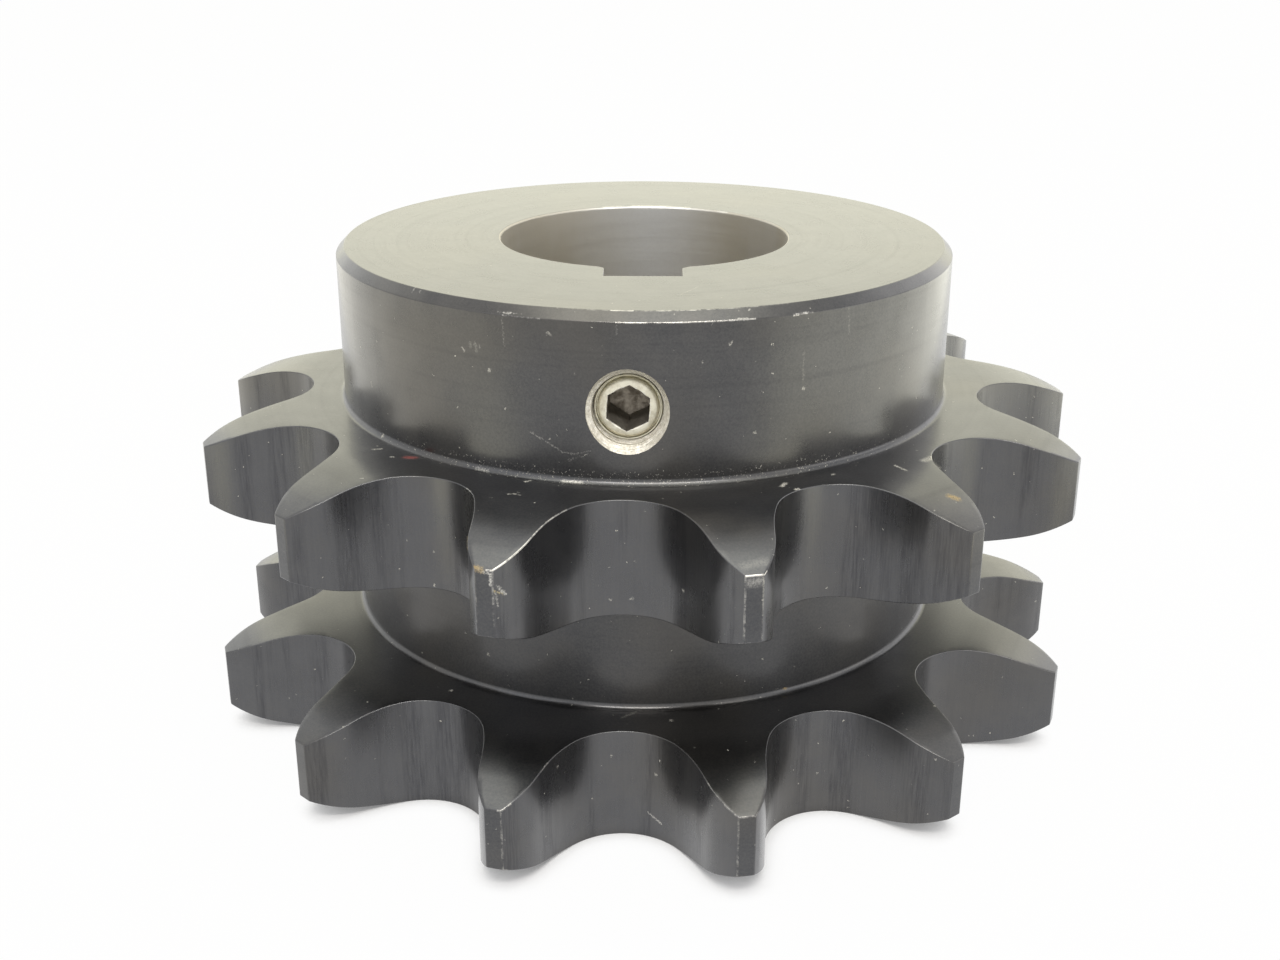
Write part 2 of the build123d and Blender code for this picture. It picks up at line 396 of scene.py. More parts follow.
def blackened(name, marks, depth, black, gloss=(0.23, 0.31), feet=(), scratches_and_glints=(), stains=()):
    """Black oxide on cut steel under thin oil: uneven, worn bare by rubbing in places, and dusty.

    Gloss is the roughness from and to. Dust gathers at each foot's radius and height, over
    its reach. A stain is a colour and where it lies. Some scratch marks given are a painted
    highlight: bright bare metal where a glint falls.
    """
    metallic = 0.95
    material, tree, shader = new_finish(name, metallic, 0.3)
    height, streak = marks(tree)
    place = shaken(tree)
    brown = effect(tree, "patches", size=16.0, cover=0.42, softness=0.16)
    grain = effect(tree, "patches", size=0.3, softness=0.25, roughness=0.8)
    cloud = effect(tree, "patches", size=4.0, softness=0.35, roughness=0.65)
    colour = over(tree, times(tree, grain, 0.7), black, pale_black)
    colour = over(tree, times(tree, brown, 0.35), colour, brown_black)
    colour = over(tree, streak, colour, deep_black)
    ragged = effect(tree, "patches", size=0.22, cover=0.55, softness=0.1, roughness=0.8)
    scuffed = effect(tree, "scuffs", spacing=7.0, length=4.0, width=0.03, share=0.2)
    scuffed = times(tree, times(tree, scuffed, ragged), 0.5)
    rubbed_and_glint = [scuffed, effect(tree, "worn_edges", size=1.2)]
    if scratches_and_glints:
        rubbed_and_glint.append(struck(tree, place, scratches_and_glints, ragged))
    rubbed_and_glint = stacked(tree, rubbed_and_glint)
    colour = over(tree, rubbed_and_glint, colour, bare)
    dusty = [
        effect(tree, "specks", place=place, spacing=1.0, size=0.10, share=0.2),
        effect(tree, "specks", place=place, spacing=2.6, size=0.15, share=0.25),
    ]
    if feet:
        near = stacked(tree, [effect(tree, "settled", radius=r, height=z, reach=d) for r, z, d in feet])
        dusty.append(effect(tree, "specks", place=place, spacing=0.25, size=0.065, share=near))
    dusty = stacked(tree, dusty)
    colour = over(tree, dusty, colour, dust)
    for tint, spots in stains:
        spot = struck(tree, place, spots, ragged)
        colour = over(tree, spot, colour, tint)
        dusty = calc(tree, "MAXIMUM", dusty, spot)
    metal = calc(tree, "SUBTRACT", calc(tree, "MAXIMUM", metallic, rubbed_and_glint), dusty)
    dry = stacked(tree, [dusty, rubbed_and_glint, streak])
    oily = calc(tree, "SUBTRACT", ramp(tree, cloud, 0.0, 1.0, 0.55, 0.85), dry)
    oily = calc(tree, "SUBTRACT", oily, times(tree, grain, 0.2))
    feed(tree, shader, {
        "Metallic": wire(tree, "Clamp", {0: metal})[0],
        "Coat Weight": wire(tree, "Clamp", {0: oily})[0],
        "Coat Roughness": 0.2,
    })
    uneven = ramp(tree, cloud, 0.0, 1.0, *gloss)
    uneven = calc(tree, "ADD", uneven, times(tree, height, 0.06))
    uneven = calc(tree, "ADD", uneven, times(tree, dusty, 0.5))
    height = calc(tree, "ADD", height, times(tree, grain, 0.25))
    height = calc(tree, "SUBTRACT", height, times(tree, scuffed, 1.5))
    dress(tree, shader, colour, uneven, height, depth)
    return material


def turning(tree):
    """Lines left by the lathe tool, and a few that are cut deeper."""
    fine = effect(tree, "tool_marks", spacing=0.16, run=1.6)
    bold = effect(tree, "tool_marks", spacing=0.55, run=0.8)
    height = calc(tree, "ADD", times(tree, fine, 0.6), times(tree, bold, 0.4))
    return height, times(tree, ramp(tree, bold, 0.5, 0.8), 0.1)


def hobbing(tree):
    """Upright facets and lines left by the hob across a flank, some of them deep and dark."""
    upright = (1, 1, 0.05)
    fine = effect(tree, "patches", size=0.25, softness=0.2, roughness=0.8, stretch=upright)
    facets = effect(tree, "patches", size=1.2, softness=0.2, stretch=(1, 1, 0.02))
    clusters = effect(tree, "patches", size=3.5, cover=0.45, softness=0.1, stretch=upright)
    height = calc(tree, "ADD", times(tree, fine, 0.45), times(tree, facets, 0.4))
    return height, times(tree, fine, ramp(tree, clusters, 0.0, 1.0, 0.06, 0.38))


# Scratches, chips, dust and rust in known places, and a painted highlight beside the bore, with the
# values that struck takes
hub_scratches_and_glint = [
    ((-14.6, -37.5, 62.6), (-11.8, -38.4, 62.6), 0.10, 0.5),
    ((-13.8, -37.8, 62.6), (-13.1, -38.0, 62.6), 0.20, 1.0),
    ((-14.1, -37.9, 62.1), (-13.9, -38.0, 58.9), 0.12, 0.25),
    ((-1.2, -40.4, 62.3), (-1.2, -40.5, 61.0), 0.12, 0.3),
    ((18.4, -36.1, 62.4), (20.0, -35.2, 62.5), 0.22, 1.0),
    ((12.1, -38.5, 62.5), (13.1, -38.2, 62.4), 0.20, 0.7),
    ((-11.1, -38.9, 49.1), (-9.4, -39.4, 48.2), 0.13, 0.45),
    ((-9.4, -39.4, 48.2), (-7.4, -39.8, 47.0), 0.13, 0.5),
    ((-7.4, -39.8, 47.0), (-6.0, -40.0, 46.9), 0.13, 0.5),
    ((-6.0, -40.0, 46.9), (-4.2, -40.3, 47.4), 0.12, 0.4),
    ((-6.7, -39.9, 46.1), (-4.4, -40.2, 47.0), 0.12, 0.35),
    ((19.6, -35.4, 57.9), (19.7, -35.4, 54.6), 0.14, 0.15),
    ((24.7, -32.1, 62.3), (24.9, -31.9, 59.0), 0.14, 0.15),
    ((-25.6, -31.0, 63.0), (-25.0, -30.2, 63.5), 0.12, 0.7),
    ((-24.5, -31.4, 63.0), (-24.2, -30.9, 63.5), 0.12, 0.7),
    ((-31.6, 16.5, 63.5), (-25.2, 12.5, 63.5), 0.16, 0.35),
    ((5.6, -32.0, 63.5), (7.5, -28.4, 63.5), 0.12, 0.45),
    # These three are a painted highlight: bright metal on the top face beside the back of the bore,
    # where a glint falls
    ((-6.6, 18.4, 63.5), (-4.1, 19.2, 63.5), 0.50, 0.8),
    ((-2.4, 19.5, 63.5), (2.3, 19.5, 63.5), 0.70, 1.0),
    ((2.3, 19.5, 63.5), (5.6, 18.7, 63.5), 0.50, 0.7),
]
hub_dust = [
    ((-15.8, -37.3, 55.9), (-15.8, -37.3, 55.7), 0.25, 1.0),
    ((14.3, -37.9, 49.1), (14.3, -37.9, 49.0), 0.24, 1.0),
    ((-32.4, -24.3, 50.0), (-32.3, -24.4, 49.5), 0.22, 0.8),
    ((11.3, -38.9, 59.6), (11.5, -38.8, 60.0), 0.20, 0.8),
    ((19.7, -35.3, 53.6), (19.8, -35.3, 53.6), 0.24, 0.8),
    ((-8.9, -39.5, 60.9), (-8.5, -39.6, 60.6), 0.20, 0.5),
    ((-19.0, -35.7, 57.9), (-18.8, -35.8, 57.6), 0.20, 0.8),
    ((-18.0, -36.2, 58.7), (-18.0, -36.2, 58.2), 0.25, 0.2),
    ((-17.4, -36.5, 58.8), (-17.3, -36.6, 57.9), 0.30, 0.2),
    ((-16.9, -36.8, 58.5), (-16.9, -36.8, 58.2), 0.20, 0.25),
]
hub_black = blackened(
    "hub_black", turning, 0.004, (0.060, 0.060, 0.063, 1), feet=[(40.5, 44.6, 0.8)],
    scratches_and_glints=hub_scratches_and_glint, stains=[(dust, hub_dust)],
)

ring_scratches = [
    ((-17.9, -36.6, 43.7), (-16.4, -37.4, 43.7), 0.30, 0.6),
    ((-7.4, -40.2, 43.6), (-5.3, -40.5, 43.6), 0.40, 0.7),
    ((-14.6, -57.3, 40.1), (-13.3, -57.6, 39.8), 0.3, 0.8),
    ((-13.4, -57.6, 39.8), (-13.4, -57.6, 38.6), 0.3, 1.0),
    ((13.7, -57.6, 39.5), (14.9, -57.2, 39.6), 0.9, 0.45),
    ((34.6, -30.8, 43.4), (36.2, -29.0, 43.4), 0.8, 1.0),
    ((36.2, -29.0, 43.4), (37.0, -27.6, 43.4), 0.4, 1.0),
    ((13.0, -56.4, 40.8), (15.2, -55.5, 41.0), 0.9, 0.12),
]
ring_dust = [
    ((17.5, -40.0, 43.4), (17.9, -39.0, 43.4), 0.45, 1.0),
    ((19.0, -40.9, 43.4), (19.3, -40.6, 43.4), 0.4, 1.0),
    ((-11.7, -40.0, 43.4), (-11.2, -39.8, 43.4), 0.35, 1.0),
    ((-30.9, -26.4, 43.8), (-30.9, -26.4, 43.9), 0.4, 1.0),
    ((-13.2, -43.9, 43.4), (-12.9, -44.0, 43.4), 0.25, 0.7),
    ((-12.6, -43.8, 43.4), (-12.3, -43.9, 43.4), 0.30, 0.8),
    ((-12.2, -43.4, 43.4), (-12.1, -43.4, 43.4), 0.22, 0.6),
    ((-11.9, -44.1, 43.4), (-11.8, -44.2, 43.4), 0.25, 0.6),
    ((-22.1, -36.3, 14.1), (-22.0, -36.3, 14.1), 0.4, 1.0),
    ((5.3, -42.3, 14.1), (5.3, -42.2, 14.1), 0.35, 1.0),
    ((-0.6, -41.9, 14.1), (0.9, -40.5, 14.2), 0.3, 0.3),
    ((-31.2, -30.3, 43.4), (-30.3, -30.1, 43.4), 0.3, 1.0),
    ((-28.5, -32.8, 43.4), (-28.4, -32.8, 43.4), 0.35, 1.0),
    ((23.5, -35.9, 43.4), (23.6, -35.8, 43.4), 0.35, 1.0),
    ((31.0, -32.6, 43.4), (32.1, -34.2, 43.4), 0.3, 0.8),
]
ring_red = [
    ((-26.7, -32.8, 43.4), (-25.8, -32.9, 43.4), 0.85, 1.0),
]
ring_rust = [
    ((-15.1, -57.0, 40.3), (-14.4, -57.3, 40.1), 0.5, 1.0),
    ((36.5, -39.5, 42.4), (37.3, -39.7, 42.2), 0.7, 1.0),
    ((19.0, -34.9, 14.8), (19.1, -34.9, 14.8), 0.4, 0.9),
]
ring_black = blackened(
    "ring_black", turning, 0.006, (0.058, 0.060, 0.067, 1), gloss=(0.28, 0.36),
    feet=[(40.7, 44.2, 1.3)], scratches_and_glints=ring_scratches,
    stains=[(dust, ring_dust), (red_fleck, ring_red), (rust, ring_rust)],
)

groove_black = blackened(
    "groove_black", turning, 0.010, (0.054, 0.055, 0.060, 1), gloss=(0.42, 0.50),
    stains=[(dust, [((-17.4, -35.7, 18.9), (-17.4, -35.7, 18.9), 0.3, 1.0)])],
)

flank_scratches = [
    ((-12.7, -57.3, 38.3), (-12.0, -56.8, 37.2), 0.28, 0.8),
    ((-12.9, -57.5, 37.6), (-12.7, -57.4, 36.0), 0.22, 0.5),
    ((2.7, -45.5, 3.4), (3.6, -45.9, 2.8), 0.18, 0.7),
    ((3.6, -45.9, 2.8), (4.4, -46.3, 2.3), 0.22, 0.8),
    ((36.4, -26.9, 41.9), (37.4, -25.2, 40.4), 0.4, 0.7),
]
flank_rust = [
    ((-18.2, -42.2, 37.2), (-18.2, -42.2, 35.8), 0.35, 1.0),
    ((-13.2, -57.5, 38.0), (-12.4, -57.0, 37.4), 0.25, 1.0),
]
flank_dust = [
    ((6.6, -48.5, 34.1), (6.6, -48.5, 34.2), 0.3, 1.0),
    ((-1.7, -45.2, 31.3), (-1.7, -45.2, 31.3), 0.25, 0.9),
    ((0.7, -45.1, 31.4), (0.7, -45.1, 31.4), 0.28, 1.0),
    ((-1.7, -45.2, 10.9), (-1.7, -45.2, 10.9), 0.25, 0.9),
    ((3.6, -45.9, 8.9), (3.6, -45.9, 8.9), 0.28, 1.0),
    ((12.2, -55.9, 11.0), (12.2, -55.9, 11.0), 0.25, 0.8),
]
hobbed_black = blackened(
    "hobbed_black", hobbing, 0.010, (0.095, 0.096, 0.103, 1), scratches_and_glints=flank_scratches,
    stains=[(pale_rust, flank_rust), (dust, flank_dust)],
)

# Bore and keyway: bare steel, reamed smooth and stained brown at both sides. Its edge is worn
# bare in places, and bright metal is painted at the back of the rim as a painted highlight, a glint
reamed_steel = (0.66, 0.665, 0.67, 1)
brown_stain = (0.50, 0.465, 0.385, 1)
dull_grain = (0.50, 0.485, 0.45, 1)
tool_glint = (0.80, 0.80, 0.78, 1)
rubbed_and_glint_bright = (0.85, 0.84, 0.80, 1)

bore_steel, tree, shader = new_finish("bore_steel", 0.9, 0.55)
reamed = effect(tree, "tool_marks", spacing=0.3, run=1.5)
across = wire(tree, "SeparateXYZ", {0: in_millimetres(tree)})[0]
stain = ramp(tree, calc(tree, "ABSOLUTE", across), 0.0, 14.0, 0.1, 1.1)
mottle = effect(tree, "patches", size=6.0, softness=0.3, stretch=(1, 1, 0.3))
stain = times(tree, stain, ramp(tree, mottle, 0.0, 1.0, 0.7, 1.0))
grain = effect(tree, "patches", size=0.5, softness=0.3, roughness=0.8)
colour = over(tree, stain, reamed_steel, brown_stain)
colour = over(tree, times(tree, grain, 0.25), colour, dull_grain)
colour = over(tree, times(tree, reamed, 0.1), colour, tool_glint)
ragged = effect(tree, "patches", size=0.22, cover=0.6, softness=0.1, roughness=0.8)
# Painted highlight: bright metal at the back of the rim, where a glint falls, laid over the worn edge
rubbed_and_glint = struck(tree, shaken(tree), [
    ((-6.6, 18.1, 63.5), (-4.1, 18.9, 63.5), 0.45, 0.7),
    ((-2.4, 19.2, 63.5), (2.3, 19.2, 63.5), 0.60, 1.0),
    ((2.3, 19.2, 63.5), (5.6, 18.4, 63.5), 0.45, 0.8),
    ((10.0, 16.5, 63.5), (11.0, 15.8, 63.5), 0.40, 0.8),
], ragged)
rubbed_and_glint = stacked(tree, [rubbed_and_glint, effect(tree, "worn_edges", size=1.2)])
colour = over(tree, rubbed_and_glint, colour, rubbed_and_glint_bright)
dress(tree, shader, colour, ramp(tree, reamed, 0.3, 0.7, 0.50, 0.56), reamed, 0.002)

# Countersinks and tapped holes, with the drill's rings round whichever hole is nearer
drilled_steel = (0.88, 0.85, 0.77, 1)
drilled_stain = (0.60, 0.565, 0.48, 1)
dark_ring = (0.40, 0.37, 0.30, 1)

tree, given, result = new_effect("hole_rings", {"Spacing": 0.2}, "Height")
x, y, z = wire(tree, "SeparateXYZ", {0: in_millimetres(tree)})
aside = calc(tree, "MINIMUM", calc(tree, "ABSOLUTE", x), calc(tree, "ABSOLUTE", y))
upwards = calc(tree, "SUBTRACT", z, hole_height)
away = vector(tree, "LENGTH", wire(tree, "CombineXYZ", {0: aside, 1: upwards})[0])
outwards = calc(tree, "DIVIDE", away, given["Spacing"])
sideways = times(tree, aside, 0.4)
rings_at = wire(tree, "CombineXYZ", {0: outwards, 1: sideways})[0]
rings = wire(tree, "TexNoise", {"Vector": rings_at, "Scale": 1.0, "Detail": 2.0})["Fac"]
tree.links.new(rings, result)

tapped_steel, tree, shader = new_finish("tapped_steel", 0.85, 0.5)
grain = effect(tree, "patches", size=0.5, softness=0.25, roughness=0.75)
rings = effect(tree, "hole_rings", spacing=0.16)
colour = over(tree, grain, drilled_steel, drilled_stain)
colour = over(tree, ramp(tree, rings, 0.45, 0.65, 0.0, 0.4), colour, dark_ring)
height = calc(tree, "ADD", grain, times(tree, rings, 1.5))
dress(tree, shader, colour, ramp(tree, grain, 0.0, 1.0, 0.40, 0.6), height, 0.05)


def polar(radius, angle):
    return Vector((radius * cos(radians(angle)), radius * sin(radians(angle)), 0))


def swing(bm, point, centre, angle, steps):
    """Draws an arc from point about centre and returns the arc's new points in order."""
    bmesh.ops.spin(bm, geom=[point], cent=centre, axis=(0, 0, 1), angle=radians(angle), steps=steps)
    bm.verts.ensure_lookup_table()
    return bm.verts[-steps:]


def points_of(geometry):
    return [part for part in geometry if isinstance(part, bmesh.types.BMVert)]


def extrude(bm, edges):
    """Extrudes edges in place and returns the new points and the new edges between them."""
    found = bmesh.ops.extrude_edge_only(bm, edges=edges)["geom"]
    points = points_of(found)
    grown = set(points)
    return points, [p for p in found if isinstance(p, bmesh.types.BMEdge) and grown.issuperset(p.verts)]


def everything(bm):
    return bm.verts[:] + bm.edges[:] + bm.faces[:]


def merged(bm, distance=merge_distance):
    bmesh.ops.remove_doubles(bm, verts=bm.verts, dist=distance)


def turned(bm, angle):
    """Turns a shape about the bore's axis."""
    bmesh.ops.rotate(bm, verts=bm.verts, matrix=Matrix.Rotation(angle, 3, "Z"))


# Half a tooth space, from the bottom of its root along one flank to the tip of the tooth: the
# standard's arc that seats the roller, a working curve, a short flat and a topping curve
seat_angle = 35 + 60 / teeth
working_angle = 18 - 56 / teeth
topping_angle = 17 - 64 / teeth
seating_radius = 0.5025 * roller_diameter + 0.038
flat_length = roller_diameter * (
    1.4 * sin(radians(topping_angle)) - 0.8 * sin(radians(working_angle))
)
seat = polar(pitch_radius, 90)
working_centre = seat + polar(0.8 * roller_diameter, 180 - seat_angle)
tip_corner = polar(outside_radius, 90 - 180 / teeth + degrees(tip_width / 2 / outside_radius))
rim_turn = degrees(acos(
    (pitch_radius**2 + seating_radius**2 - face_radius**2) / (2 * pitch_radius * seating_radius)
))

bm = bmesh.new()
root = bmesh.ops.create_vert(bm, co=polar(pitch_radius - seating_radius, 90))["vert"]
root += swing(bm, root[-1], seat, rim_turn, steps=6)
flank = [root[-1]]
flank += swing(bm, flank[-1], seat, 90 - seat_angle - rim_turn, steps=4)
flank += swing(bm, flank[-1], working_centre, working_angle, steps=6)
heading = (flank[-1].co - working_centre).normalized()
heading = Vector((-heading.y, heading.x, 0))
for half in range(2):
    flank += bmesh.ops.extrude_vert_indiv(bm, verts=[flank[-1]])["verts"]
    flank[-1].co += heading * flat_length / 2
chord = tip_corner - flank[-1].co
inward = Vector((heading.y, -heading.x, 0))
topping_radius = chord.dot(chord) / (2 * chord.dot(inward))
topping_turn = 2 * degrees(asin(chord.length / (2 * topping_radius)))
flank += swing(bm, flank[-1], flank[-1].co + inward * topping_radius, -topping_turn, steps=8)

# The flank is carried round to the middle of its tooth, and the root in to the join
tooth_middle = radians(90 - 180 / teeth)
columns = 4
edges = [edge for edge in bm.edges if set(flank).issuperset(edge.verts)]
for column in range(columns):
    points, edges = extrude(bm, edges)
    for point in points:
        left = tooth_middle - atan2(point.co.y, point.co.x)
        point.co.rotate(Matrix.Rotation(left / (columns - column), 3, "Z"))
edges = [
    edge for edge in bm.edges
    if max(point.co.length for point in edge.verts) < face_radius + merge_distance
]
for point in extrude(bm, edges)[0]:
    point.co = point.co.normalized() * join_radius
bmesh.ops.mirror(bm, geom=everything(bm), axis="X", merge_dist=merge_distance)
bmesh.ops.spin(
    bm, geom=everything(bm), axis=(0, 0, 1), angle=2 * pi * (1 - 1 / teeth), steps=teeth - 1,
    use_duplicate=True,
)
merged(bm)

# The side falls away to the tips, the flanks go down to the ring's middle, both are mirrored,
# and the finished ring is repeated for the second strand
for point in bm.verts:
    past = max(0, point.co.length - face_radius)
    point.co.z = ring_thickness / 2 - rim_radius + sqrt(rim_radius**2 - past**2)
outline = [
    edge for edge in bm.edges if edge.is_boundary and edge.verts[0].co.xy.length > join_radius + slack
]
for point in extrude(bm, outline)[0]:
    point.co.z = 0
bmesh.ops.mirror(bm, geom=everything(bm), axis="Z", merge_dist=merge_distance)
bmesh.ops.translate(bm, verts=bm.verts, vec=(0, 0, ring_thickness / 2))
upper = points_of(bmesh.ops.duplicate(bm, geom=everything(bm))["geom"])
bmesh.ops.translate(bm, verts=upper, vec=(0, 0, strand_spacing))


def quarter_round(radius, height, start, steps=5):
    """Points of a fillet about (radius, height), turning a quarter back from the start angle."""
    angles = [radians(start - 90 * step / steps) for step in range(steps + 1)]
    return [(radius + fillet_radius * cos(a), height + fillet_radius * sin(a)) for a in angles]


def turn_from(bm, start_height, section):
    """Carries a ring's inner edge along a section of (radius, height) points."""
    edges = [
        edge for edge in bm.edges
        if edge.is_boundary
        and all(abs(point.co.z - start_height) < merge_distance for point in edge.verts)
    ]
    for radius, height in section:
        points, edges = extrude(bm, edges)
        for point in points:
            point.co.xy = point.co.xy.normalized() * radius
            point.co.z = height


groove_round = groove_radius + fillet_radius
hub_round = hub_radius + fillet_radius
turn_from(bm, ring_thickness, [
    *quarter_round(groove_round, ring_thickness + fillet_radius, 270),
    *quarter_round(groove_round, strand_spacing - fillet_radius, 180),
    (join_radius, strand_spacing),
])
turn_from(bm, rings_top, [
    *quarter_round(hub_round, rings_top + fillet_radius, 270),
    (hub_radius, hub_end - hub_chamfer),
    (hub_radius - hub_chamfer, hub_end),
    (bore_radius + bore_chamfer, hub_end),
    (bore_radius, hub_end - bore_chamfer),
    (bore_radius, bore_chamfer),
    (bore_radius + bore_chamfer, 0),
    (join_radius, 0),
])
merged(bm)
bmesh.ops.recalc_face_normals(bm, faces=bm.faces)
turned(bm, pi)

finishes = [hub_black, ring_black, groove_black, hobbed_black, bore_steel]
on_hub_face, on_ring, in_groove, on_flank, in_bore = range(len(finishes))
for face in bm.faces:
    radii = [point.co.xy.length for point in face.verts]
    heights = [point.co.z for point in face.verts]
    between_rings = min(heights) > ring_thickness and max(heights) < strand_spacing
    if max(radii) < bore_radius + bore_chamfer + slack:
        face.material_index = in_bore
    elif max(radii) < groove_radius + slack and between_rings:
        face.material_index = in_groove
    elif min(heights) > rings_top + fillet_radius - slack:
        face.material_index = on_hub_face
    elif abs(face.normal.z) < 0.1 and join_radius < min(radii) < outside_radius - slack:
        face.material_index = on_flank
    else:
        face.material_index = on_ring
sprocket = to_object(bm, "sprocket_body", *finishes)


def machine(body, cutter, operation="DIFFERENCE"):
    """Cuts body with cutter, whose finish is left on the new faces, and removes the cutter."""
    cut = body.modifiers.new("cut", "BOOLEAN")
    cut.operation = operation
    cut.solver = "EXACT"
    cut.object = cutter
    cut.material_mode = "TRANSFER"
    shape = body.evaluated_get(bpy.context.evaluated_depsgraph_get())
    mesh = bpy.data.meshes.new_from_object(shape)
    body.modifiers.clear()
    body.data = mesh
    bpy.data.objects.remove(cutter)


# Keyway, broached through the bore a little past the middle of the front tooth space, and the
# corners where it meets the bore filed off
key_width = 9.525
keyway_depth = 4.89
keyway_turn = 2.2
keyway_floor = sqrt(bore_radius**2 - key_width**2 / 4) + keyway_depth
corner_file = 1.1
bar_length = hub_end + 4              # a bar runs out at both ends of the bore


def broach(name, width, depth, across, along, turn=0):
    """Cuts the bore with an upright bar, which stands here before the keyway is turned."""
    bm = bmesh.new()
    bmesh.ops.create_cube(bm, size=1)
    bmesh.ops.scale(bm, verts=bm.verts, vec=(width, depth, bar_length))
    turned(bm, turn)
    bmesh.ops.translate(bm, verts=bm.verts, vec=(across, along, hub_end / 2))
    turned(bm, radians(keyway_turn))
    machine(sprocket, to_object(bm, name, bore_steel))


broach("keyway_broach", key_width, keyway_floor, 0, -keyway_floor / 2)
for side in (-1, 1):
    broach(
        "keyway_corner_file", corner_file, corner_file, side * key_width / 2,
        keyway_depth - keyway_floor, turn=pi / 4,
    )

# Two holes in the hub, drilled, tapped and countersunk, one over the keyway and one beside it
thread_pitch = 25.4 / 16
thread_minor_radius = 7.98 / 2
thread_major_radius = 9.525 / 2
thread_relief_radius = 4.14
thread_relief_depth = 2
tap_start = 16                        # inside the bore, from its axis
tap_overrun = 0.5
hole_mouth_radius = 9.9 / 2 + 0.06    # with the lip that the drill left
side_screw_turn = 90


def threaded_rod(root_radius, crest_radius, start, end):
    """A closed rod along Z with one helical thread from end to end."""
    steps = 36
    turns = ceil((end - start) / thread_pitch)
    flank_rise = (crest_radius - root_radius) * tan(radians(30))
    land = thread_pitch / 2 - flank_rise
    bm = bmesh.new()
    outline = bmesh.ops.create_vert(bm, co=(root_radius, 0, start))["vert"]
    for radius, rise in (
        (root_radius, land), (crest_radius, flank_rise), (crest_radius, land), (root_radius, flank_rise),
    ):
        outline += bmesh.ops.extrude_vert_indiv(bm, verts=[outline[-1]])["verts"]
        outline[-1].co = (radius, 0, outline[-1].co.z + rise)
    bmesh.ops.spin(
        bm, geom=everything(bm), axis=(0, 0, 1), dvec=(0, 0, thread_pitch / steps),
        angle=2 * pi * turns, steps=steps * turns,
    )
    merged(bm)
    last = start + thread_pitch * (turns + 1)
    for point in extrude(bm, [edge for edge in bm.edges if edge.is_boundary])[0]:
        point.co = (0, 0, start if point.co.z < (start + last) / 2 else last)
    merged(bm)
    bmesh.ops.recalc_face_normals(bm, faces=bm.faces)
    return bm


def cone(low_radius, high_radius, depth, middle, segments=96):
    """A round cutter along Z, with its middle at this height."""
    bm = bmesh.new()
    bmesh.ops.create_cone(
        bm, cap_ends=True, segments=segments, radius1=low_radius, radius2=high_radius, depth=depth,
    )
    bmesh.ops.translate(bm, verts=bm.verts, vec=(0, 0, middle))
    return bm


def on_hub(bm, turn):
    """Moves a shape from +Z to a screw's axis, turned about the bore from -Y."""
    place = Matrix.Rotation(radians(turn), 4, "Z") @ Matrix.Translation((0, 0, hole_height))
    bmesh.ops.transform(bm, verts=bm.verts, matrix=place @ Matrix.Rotation(pi / 2, 4, "X"))


countersink_depth = hole_mouth_radius - thread_minor_radius
low_run, high_run = 1, 2              # how far the countersink's cone goes on past its cut
for turn in (0, side_screw_turn):
    tap = threaded_rod(thread_minor_radius, thread_major_radius, tap_start, hub_radius + tap_overrun)
    relief_drill = cone(
        thread_relief_radius, thread_relief_radius, 2 * thread_relief_depth, hub_radius
    )
    countersink = cone(
        thread_minor_radius - low_run, hole_mouth_radius + high_run,
        countersink_depth + low_run + high_run,
        hub_radius - countersink_depth / 2 + (high_run - low_run) / 2,
    )
    for name, tool in (("tap", tap), ("relief_drill", relief_drill), ("countersink", countersink)):
        on_hub(tool, turn)
        machine(sprocket, to_object(tool, name, tapped_steel))

